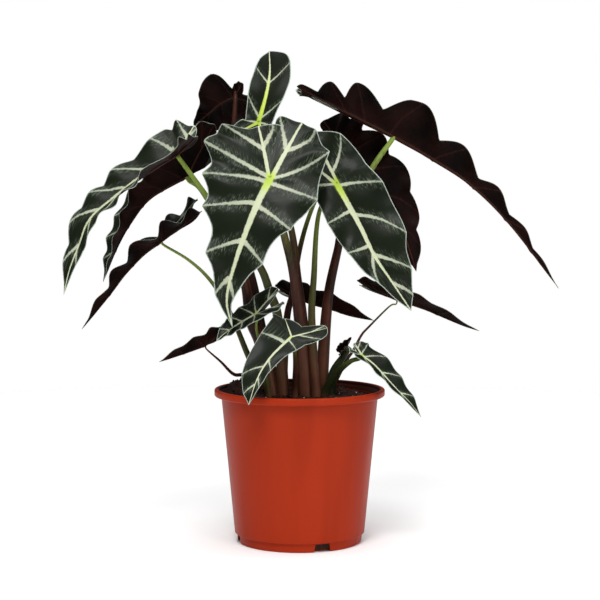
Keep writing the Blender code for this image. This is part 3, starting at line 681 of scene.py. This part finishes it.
def pot_section():
    """Half section of the pot from the axis, out under the floor, up the foot band, step, wall and rolled
    rim, and down inside to the floor: straight runs joined by arcs."""
    under = POT_HEIGHT - RIM_DEPTH
    lip = RIM_ROUND
    foot, step, top = FOOT_RADIUS, FOOT_RADIUS + FOOT_STEP, WALL_TOP_RADIUS
    return np.concatenate([
        straight((0, 0), (foot - MM, 0), 12),
        arc((foot - MM, MM), MM, -80, -5, 5),
        straight((foot + 0.1 * MM, 2 * MM), (foot + 0.6 * MM, FOOT_HEIGHT - 0.6 * MM), 6),
        straight((foot + 0.8 * MM, FOOT_HEIGHT - 0.2 * MM), (step - 0.5 * MM, FOOT_HEIGHT), 3),
        arc((step - 0.5 * MM, FOOT_HEIGHT + 0.5 * MM), 0.5 * MM, -70, 0, 4),
        straight((step + 0.1 * MM, FOOT_HEIGHT + 1.5 * MM), (top, under - 2 * MM), 40),
        arc((top + 1.2 * MM, under - 1.2 * MM), 1.2 * MM, 170, 100, 5),
        arc((RIM_RADIUS - lip, under + lip), lip, -85, 0, 7),
        arc((RIM_RADIUS - lip, POT_HEIGHT - lip), lip, 0, 90, 8),
        arc((RIM_RADIUS - 2.2 * lip, POT_HEIGHT - lip), lip, 90, 170, 8),
        straight((top + 2 * MM, POT_HEIGHT - 3 * MM), (top, under + 1.5 * MM), 4),
        straight((top - POT_WALL, under - 3 * MM), (foot - POT_WALL, FLOOR_THICKNESS), 24),
        straight((foot - 2 * POT_WALL, FLOOR_THICKNESS), (0, FLOOR_THICKNESS), 8),
    ])


def turned_surface(name, section, sides):
    """The section (radius, height) turned full circle about the pot's axis, with one point where it meets
    it."""
    body = section[1:-1]
    x, y = round_axis(body[:, :1], sides)
    rings = np.stack([x, y, np.repeat(body[:, 1:], sides, axis=1)], axis=-1)
    return lay_mesh(name, *closed_rings(rings, (0, 0, section[0, 1]), (0, 0, section[-1, 1])))


def notch_cutter(turn):
    """A wedge for one drain notch, wider at the bottom, square to the pot's wall."""
    low, high = NOTCH_WIDTH / 2, 0.8 * NOTCH_WIDTH / 2
    near, far = FOOT_RADIUS - 7 * MM, FOOT_RADIUS + 7 * MM
    flat = [(-low, -MM), (low, -MM), (high, NOTCH_HEIGHT), (-high, NOTCH_HEIGHT)]
    corners = np.array([(x, r, z) for r in (near, far) for x, z in flat])
    faces = np.array([(0, 1, 2, 3), (7, 6, 5, 4), (0, 4, 5, 1), (1, 5, 6, 2), (2, 6, 7, 3), (3, 7, 4, 0)])
    return lay_mesh("notch_cutter", spun(corners, math.pi + turn), faces)


def make_pot():
    """The turned pot with its drain notches cut through the foot, and its edges' shading kept crisp."""
    pot = turned_surface("nursery_pot", pot_section(), POT_SIDES)
    cutters = [notch_cutter(math.radians(turn)) for turn in NOTCH_TURNS]
    for cutter in cutters:
        cut = pot.modifiers.new("drain notch", "BOOLEAN")
        cut.operation = "DIFFERENCE"
        cut.object = cutter
    graph = bpy.context.evaluated_depsgraph_get()
    finished = bpy.data.meshes.new_from_object(pot.evaluated_get(graph))
    pot.modifiers.clear()
    pot.data = finished
    for cutter in cutters:
        bpy.data.objects.remove(cutter)
    finished.shade_smooth()
    finished.set_sharp_from_angle(angle=math.radians(40))
    return pot


def soil_height(x, y):
    """Height of the soil's top: level, with a flat-topped mound at one side and a dip round the wall."""
    away = np.hypot(x - MOUND_PLACE[0], y - MOUND_PLACE[1])
    slope = np.clip((away - MOUND_TOP) / (MOUND_REACH - MOUND_TOP), 0, 1)
    dip = np.clip((np.hypot(x, y) - DIP_START) / (SOIL_RADIUS - DIP_START), 0, 1)
    return SOIL_LEVEL + MOUND_HEIGHT * (1 - slope**2 * (3 - 2 * slope)) - DIP_DEPTH * dip**2


def rough_soil_height(x, y):
    """The soil's height with its lumps: three sizes of smooth noise added to the height."""
    lumps = (height * value_noise(x / size, y / size, seed) for height, size, seed in LUMPS)
    return soil_height(x, y) + sum(lumps)


def make_soil():
    """The soil: a flat floor, a wall, and rings about the axis whose points stand at the lumpy height."""
    radii = SOIL_RADIUS * np.linspace(1, 0, SOIL_RINGS, endpoint=False)
    x, y = round_axis(radii[:, None], SOIL_SIDES)
    top = np.stack([x, y, rough_soil_height(x, y)], axis=-1)
    bottom = FLOOR_THICKNESS + 0.4 * MM
    walls = [(FOOT_RADIUS - POT_WALL - MM, bottom), (SOIL_RADIUS - 0.8 * MM, SOIL_WALL_TOP)]
    wall = [np.stack([*round_axis(r, SOIL_SIDES), np.full(SOIL_SIDES, z)], axis=-1) for r, z in walls]
    middle = (0, 0, float(rough_soil_height(np.array(0.0), np.array(0.0))))
    return lay_mesh("potting_soil", *closed_rings(np.concatenate([wall, top]), (0, 0, bottom), middle))


def crumbs(name, count, sizes, reach, seed):
    """Many small lumps in one mesh: a 20-sided ball whose points are pushed in and out at random, turned,
    sized and set on the soil, for all lumps at once."""
    ball = bmesh.new()
    bmesh.ops.create_icosphere(ball, subdivisions=1, radius=1)
    corners = np.array([v.co[:] for v in ball.verts])
    faces = np.array([[v.index for v in f.verts] for f in ball.faces])
    ball.free()
    draw = np.random.default_rng(seed)
    size = draw.uniform(*sizes, count) * draw.uniform(0.5, 1, count)
    shape = corners[None] * draw.uniform(0.65, 1.25, (count, len(corners), 1))
    shape = shape * draw.uniform(0.6, 1.3, (count, 1, 3))
    shape = spun(shape, draw.uniform(0, 2 * math.pi, (count, 1))) * size[:, None, None]
    away = reach * np.sqrt(draw.uniform(0, 1, count))
    bearing = draw.uniform(0, 2 * math.pi, count)
    x, y = away * np.cos(bearing), away * np.sin(bearing)
    places = np.stack([x, y, rough_soil_height(x, y) + 0.25 * size], axis=-1)
    points = (shape + places[:, None]).reshape(-1, 3)
    all_faces = (faces[None] + len(corners) * np.arange(count)[:, None, None]).reshape(-1, 3)
    return lay_mesh(name, points, all_faces)


# ---- materials
class Nodes:
    """A material's node tree with short calls that add a node, link its inputs and return its output."""

    def __init__(self, name):
        self.material = bpy.data.materials.new(name)
        self.material.use_nodes = True
        self.tree = self.material.node_tree
        self.shader = self.tree.nodes["Principled BSDF"]

    def feed(self, socket, value):
        if isinstance(value, bpy.types.NodeSocket):
            self.tree.links.new(value, socket)
        elif value is not None:
            socket.default_value = value

    def set(self, **values):
        """Sets the shader's sockets: base_color=..., roughness=..., and so on."""
        for name, value in values.items():
            self.feed(self.shader.inputs[name.replace("_", " ").title().replace("Ior", "IOR")], value)

    def add(self, kind, *values, **settings):
        """A new node with these settings, its inputs fed in order."""
        node = self.tree.nodes.new("ShaderNode" + kind)
        for name, value in settings.items():
            setattr(node, name, value)
        for socket, value in zip(node.inputs, values):
            self.feed(socket, value)
        return node

    def calc(self, operation, a, b=None):
        return self.add("Math", a, b, operation=operation).outputs[0]

    def plus(self, a, b):
        return self.calc("ADD", a, b)

    def minus(self, a, b):
        return self.calc("SUBTRACT", a, b)

    def times(self, a, b):
        return self.calc("MULTIPLY", a, b)

    def ease(self, value, start, stop, low=0.0, high=1.0):
        """A smooth step of value from low at start to high at stop."""
        node = self.add("MapRange", value, start, stop, low, high, interpolation_type="SMOOTHSTEP")
        return node.outputs[0]

    def mix(self, factor, a, b):
        node = self.add("Mix", factor, data_type="RGBA")
        self.feed(node.inputs[6], a)
        self.feed(node.inputs[7], b)
        return node.outputs[2]

    def attribute(self, name):
        """The three numbers of a vector that the mesh carries."""
        return self.split(self.add("Attribute", attribute_name=name).outputs["Vector"])

    def split(self, vector):
        return self.add("SeparateXYZ", vector).outputs[:3]

    def join(self, x, y, z):
        return self.add("CombineXYZ", x, y, z).outputs[0]

    def place(self, scale=(1, 1, 1)):
        """The point on the object, stretched by scale."""
        node = self.add("Mapping", self.add("TexCoord").outputs["Object"])
        node.inputs["Scale"].default_value = scale
        return node.outputs[0]

    def noise(self, vector, scale, detail, roughness=0.5):
        node = self.add("TexNoise", vector)
        node.inputs["Scale"].default_value = scale
        node.inputs["Detail"].default_value = detail
        node.inputs["Roughness"].default_value = roughness
        return node.outputs["Fac"]

    def bump(self, height, distance, strength):
        node = self.add("Bump")
        node.inputs["Distance"].default_value = distance
        node.inputs["Strength"].default_value = strength
        self.feed(node.inputs["Height"], height)
        self.feed(self.shader.inputs["Normal"], node.outputs[0])


def vein_masks(nodes, rib_width, vein_width, size):
    """How much a point lies on the rib and on a side vein, each from 0 to 1, and what else the blade's
    patterns read."""
    count, spacing, v = nodes.attribute("veining")
    from_rib, to_margin, share = nodes.attribute("measure")
    wobble = nodes.noise(nodes.place(), 420, 3, 0.6)
    wobble = nodes.times(nodes.minus(wobble, 0.5), 3.6 * size)
    from_vein = nodes.calc("ABSOLUTE", nodes.minus(count, nodes.calc("ROUND", count)))
    from_vein = nodes.plus(nodes.times(from_vein, spacing), wobble)
    half = nodes.ease(v, 0.0, 1.0, vein_width, 0.35 * vein_width)
    side = nodes.ease(from_vein, nodes.plus(half, 0.9 * size), nodes.minus(half, 0.5 * size))
    along = nodes.calc("ABSOLUTE", share)
    wide = nodes.ease(along, 0.0, 1.0, rib_width, 0.3 * rib_width)
    near = nodes.plus(from_rib, nodes.times(wobble, 0.5))
    rib = nodes.ease(near, nodes.plus(wide, 0.7 * size), nodes.minus(wide, 0.5 * size))
    return dict(
        rib=rib, side=side, from_vein=from_vein, from_rib=from_rib, to_margin=to_margin,
        along=along, v=v, share=share, wobble=wobble,
    )


def upper_side(name, size, reach):
    """The blade's upper side: near-black green, silver-white veins with feathered edges, lime at the stalk's
    joint, and a thin white margin. The lime runs along the rib as far as reach."""
    nodes = Nodes(name)
    seen = vein_masks(nodes, RIB_WIDTH * size, VEIN_WIDTH * size, size)
    broad = nodes.noise(nodes.place(), 22, 3)
    dark = nodes.mix(broad, (0.004, 0.007, 0.004, 1), (0.012, 0.015, 0.008, 1))
    streak = nodes.noise(nodes.join(
        nodes.times(seen["from_rib"], 0.9),
        nodes.times(seen["from_vein"], 0.16),
        seen["share"],
    ), 1.4, 2)
    halo = nodes.ease(seen["from_vein"], 12 * size, 0.5 * size)
    feather = nodes.times(nodes.ease(streak, 0.52, 0.66), halo)
    tint = nodes.mix(nodes.times(halo, 0.3), dark, (0.02, 0.03, 0.018, 1))
    tint = nodes.mix(nodes.times(feather, 0.6), tint, (0.17, 0.19, 0.14, 1))
    silver = nodes.mix(nodes.ease(seen["v"], 0, 0.9), (0.42, 0.45, 0.33, 1), (0.3, 0.33, 0.25, 1))
    tint = nodes.mix(seen["side"], tint, silver)
    near, far = (0.46, 0.58, 0.08, 1), (0.5, 0.54, 0.36, 1)
    lime = nodes.mix(nodes.ease(seen["along"], 0.1 * reach, reach), near, far)
    tint = nodes.mix(seen["rib"], tint, lime)
    glow = nodes.times(nodes.ease(seen["along"], 0.13, 0.0), nodes.ease(seen["from_rib"], 6 * size, 0.5))
    tint = nodes.mix(nodes.times(glow, 0.75 * min(1, 10 * reach)), tint, (0.36, 0.50, 0.06, 1))
    edge = nodes.plus(seen["to_margin"], nodes.times(seen["wobble"], 0.3))
    edge = nodes.ease(edge, 0.5 + 0.7 * size, 0.1 + 0.35 * size)
    tint = nodes.mix(nodes.times(edge, 0.8), tint, (0.42, 0.50, 0.42, 1))
    fine = nodes.noise(nodes.place(), 900, 2)
    veined = nodes.calc("MAXIMUM", seen["rib"], seen["side"])
    nodes.set(base_color=tint, roughness=nodes.ease(fine, 0.2, 0.8, 0.28, 0.4))
    nodes.set(specular_ior_level=0.07, coat_weight=0.03, coat_roughness=0.15)
    nodes.bump(nodes.plus(nodes.times(veined, 0.6), nodes.times(fine, 0.35)), 0.0004, 0.5)
    return nodes.material


def under_side(name, size):
    """The blade's under side: dark purple-brown, its raised rib and side veins a shade redder."""
    nodes = Nodes(name)
    seen = vein_masks(nodes, UNDER_RIB_WIDTH * size, UNDER_VEIN_WIDTH * size, size)
    broad = nodes.ease(nodes.noise(nodes.place(), 30, 3), 0.3, 0.7)
    tint = nodes.mix(broad, (0.002, 0.001, 0.0007, 1), (0.012, 0.0035, 0.0025, 1))
    tint = nodes.mix(nodes.times(seen["side"], 0.5), tint, (0.03, 0.009, 0.008, 1))
    tint = nodes.mix(nodes.times(seen["rib"], 0.75), tint, (0.05, 0.018, 0.012, 1))
    edge = nodes.ease(seen["to_margin"], 0.9, 0.2)
    tint = nodes.mix(nodes.times(edge, 0.5), tint, (0.12, 0.10, 0.08, 1))
    fine = nodes.noise(nodes.place(), 700, 3)
    nodes.set(base_color=tint, roughness=nodes.ease(fine, 0.2, 0.8, 0.42, 0.58), specular_ior_level=0.04)
    nodes.bump(fine, 0.0003, 0.4)
    return nodes.material


def stalk_skin():
    """The stalks' skin: maroon-brown and mottled at the foot, olive and then bright green above, as each
    one's tone says."""
    nodes = Nodes("stalk skin")
    rise, tone, fresh = nodes.attribute("stalk")
    mottle = nodes.noise(nodes.place((1, 1, 0.25)), 420, 4, 0.65)
    broad = nodes.noise(nodes.place((1, 1, 0.4)), 60, 2)
    green = nodes.mix(nodes.ease(rise, 0.5, 1.0), (0.05, 0.052, 0.014, 1), (0.22, 0.31, 0.05, 1))
    green = nodes.mix(fresh, (0.010, 0.017, 0.006, 1), green)
    maroon = nodes.mix(nodes.ease(broad, 0.3, 0.7), (0.018, 0.007, 0.004, 1), (0.075, 0.022, 0.012, 1))
    maroon = nodes.mix(nodes.ease(rise, 0.3, 0.02, 0, 0.8), maroon, (0.17, 0.065, 0.036, 1))
    turn = nodes.plus(rise, nodes.times(nodes.minus(mottle, 0.5), 0.5))
    shift = nodes.ease(nodes.minus(turn, tone), -0.22, 0.22)
    tint = nodes.mix(shift, maroon, green)
    flecks = nodes.ease(mottle, 0.56, 0.7)
    tint = nodes.mix(nodes.times(flecks, 0.35), tint, (0.03, 0.012, 0.01, 1))
    nodes.set(base_color=tint, roughness=0.4, specular_ior_level=0.15)
    nodes.bump(mottle, 0.0003, 0.35)
    return nodes.material


def pot_plastic():
    """Moulded terracotta-coloured plastic: satin, with faint upright flow streaks and fine scuffs, and with
    painted shade on the inside of the wall, which is mixed almost to black above its lowest 30 to 50 mm."""
    nodes = Nodes("terracotta plastic")
    streaks = nodes.noise(nodes.place((1, 1, 0.06)), 45, 3)
    cloud = nodes.noise(nodes.place(), 12, 3)
    tint = nodes.mix(cloud, (0.30, 0.021, 0.0035, 1), (0.345, 0.027, 0.005, 1))
    tint = nodes.mix(nodes.times(nodes.ease(streaks, 0.45, 0.75), 0.5), tint, (0.25, 0.018, 0.003, 1))
    # Painted shade: the inner face of the wall, the points that lie inside the outer wall's slope, is mixed
    # almost to black above the lowest 30 to 50 mm.
    x, y, z = nodes.split(nodes.place())
    radius = nodes.calc("SQRT", nodes.plus(nodes.times(x, x), nodes.times(y, y)))
    under = POT_HEIGHT - RIM_DEPTH
    slope = (WALL_TOP_RADIUS - FOOT_RADIUS - FOOT_STEP) / (under - FOOT_HEIGHT)
    outside = nodes.plus(nodes.times(nodes.minus(z, under), slope), WALL_TOP_RADIUS)
    outside = nodes.plus(outside, nodes.ease(z, under - MM, under + MM, 0, 3.4 * MM))
    inside = nodes.ease(nodes.minus(radius, outside), -0.4 * MM, -1.1 * MM)
    inside = nodes.times(inside, nodes.ease(z, 30 * MM, 50 * MM))
    tint = nodes.mix(nodes.times(inside, 0.93), tint, (0.006, 0.002, 0.001, 1))
    grain = nodes.noise(nodes.place(), 1400, 2)
    nodes.set(base_color=tint, roughness=nodes.ease(streaks, 0.3, 0.75, 0.34, 0.46))
    nodes.set(specular_ior_level=0.07, coat_weight=0.03, coat_roughness=0.25)
    nodes.bump(grain, 0.0002, 0.3)
    return nodes.material


def earth(name, low, high, scale):
    """Crumbly peat: two browns mixed by noise, rough and matt."""
    nodes = Nodes(name)
    grain = nodes.noise(nodes.place(), scale, 5, 0.7)
    nodes.set(base_color=nodes.mix(nodes.ease(grain, 0.3, 0.7), low, high), roughness=0.95)
    nodes.set(specular_ior_level=0.2)
    nodes.bump(grain, 0.001, 0.8)
    return nodes.material


# ---- the studio
def area_light(name, place, target, size, energy):
    """A rectangular lamp at place, aimed at target."""
    lamp = bpy.data.lights.new(name, "AREA")
    lamp.shape = "RECTANGLE"
    lamp.size, lamp.size_y = size
    lamp.energy = energy
    made = add_object(name, lamp)
    made.location = place
    aim = np.array(target) - np.array(place)
    made.rotation_euler = (math.atan2(np.hypot(aim[0], aim[1]), -aim[2]), 0, math.atan2(-aim[0], aim[1]))


def set_studio():
    """A round pale floor, a white surround that lights softly, big soft lamps, and the camera in front."""
    turn = np.linspace(0, 2 * math.pi, FLOOR_SIDES, endpoint=False)
    x, y = FLOOR_RADIUS * np.cos(turn), FLOOR_RADIUS * np.sin(turn)
    points = np.stack([x, y, np.full(FLOOR_SIDES, -FLOOR_DROP)], axis=1)
    floor = lay_mesh("studio_floor", points, np.arange(FLOOR_SIDES)[None])
    paper = Nodes("pale paper")
    paper.set(base_color=(0.95, 0.95, 0.95, 1), roughness=0.9)
    floor.data.materials.append(paper.material)
    world = bpy.data.worlds.new("white surround")
    world.use_nodes = True
    tree = world.node_tree
    tree.nodes["Background"].inputs["Color"].default_value = (1, 1, 1, 1)
    seen = tree.nodes.new("ShaderNodeLightPath")
    share = tree.nodes.new("ShaderNodeMapRange")
    tree.links.new(seen.outputs["Is Camera Ray"], share.inputs["Value"])
    share.inputs["To Min"].default_value = SURROUND_LIGHT
    share.inputs["To Max"].default_value = 1.0
    tree.links.new(share.outputs[0], tree.nodes["Background"].inputs["Strength"])
    bpy.context.scene.world = world
    area_light("key", (-0.3, -1.4, 1.9), (0, 0, 0.25), (0.8, 0.8), 30)
    area_light("fill", (0.9, -1.4, 0.7), (0, 0, 0.2), (0.7, 1.0), 9)
    sky = bpy.data.lights.new("overhead", "SUN")
    sky.energy = OVERHEAD_LIGHT
    sky.angle = math.radians(70)
    add_object("overhead", sky).location = (0, 0, 2)
    lens = bpy.data.cameras.new("camera")
    lens.sensor_width = SENSOR
    lens.lens = CAMERA_LENS
    camera = add_object("camera", lens)
    camera.location = (CAMERA_SHIFT, -CAMERA_DISTANCE, CAMERA_HEIGHT)
    camera.rotation_euler = (math.pi / 2 - CAMERA_TILT, 0, 0)
    bpy.context.scene.camera = camera
    bpy.context.scene.view_settings.view_transform = "Standard"


def finish_piece(piece, slot, materials, *replaced):
    """Gives a piece its materials and its body, and hides the frame nodes that it stands for. The slot is not
    used.
    """
    for material in materials:
        piece.data.materials.append(material)
    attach(piece, "root")
    if replaced:
        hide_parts(*replaced)


def main():
    set_studio()
    finish_piece(make_pot(), "pot_plastic", [pot_plastic()], "pot")
    peat = earth("peat", (0.012, 0.006, 0.005, 1), (0.05, 0.022, 0.015, 1), 300)
    finish_piece(make_soil(), "soil", [peat], "soil")
    finish_piece(crumbs("peat_crumbs", 900, (0.8 * MM, 2.8 * MM), 73 * MM, 11), "soil", [peat])
    white = earth("perlite", (0.55, 0.52, 0.47, 1), (0.8, 0.78, 0.74, 1), 900)
    finish_piece(crumbs("perlite_grains", 40, (0.8 * MM, 1.7 * MM), 72 * MM, 21), "soil", [white])
    skin = stalk_skin()
    sides = {}
    for seed, (name, leaf) in enumerate(LEAVES.items()):
        size, reach = leaf["size"], leaf.get("lime", LIME_REACH)
        if (size, reach) not in sides:
            top = upper_side(f"leaf top {size:g} {reach:g}", size, reach)
            sides[size, reach] = [top, under_side(f"leaf underside {size:g}", size)]
        faced = [sides[size, reach][1]] * 2 if leaf.get("dull") else sides[size, reach]
        finish_piece(make_blade("blade_" + name, leaf, seed), "leaf", faced, "leaf_" + name)
        finish_piece(make_stalk("petiole_" + name, leaf, seed), "stalk", [skin], "stalk_" + name)


main()
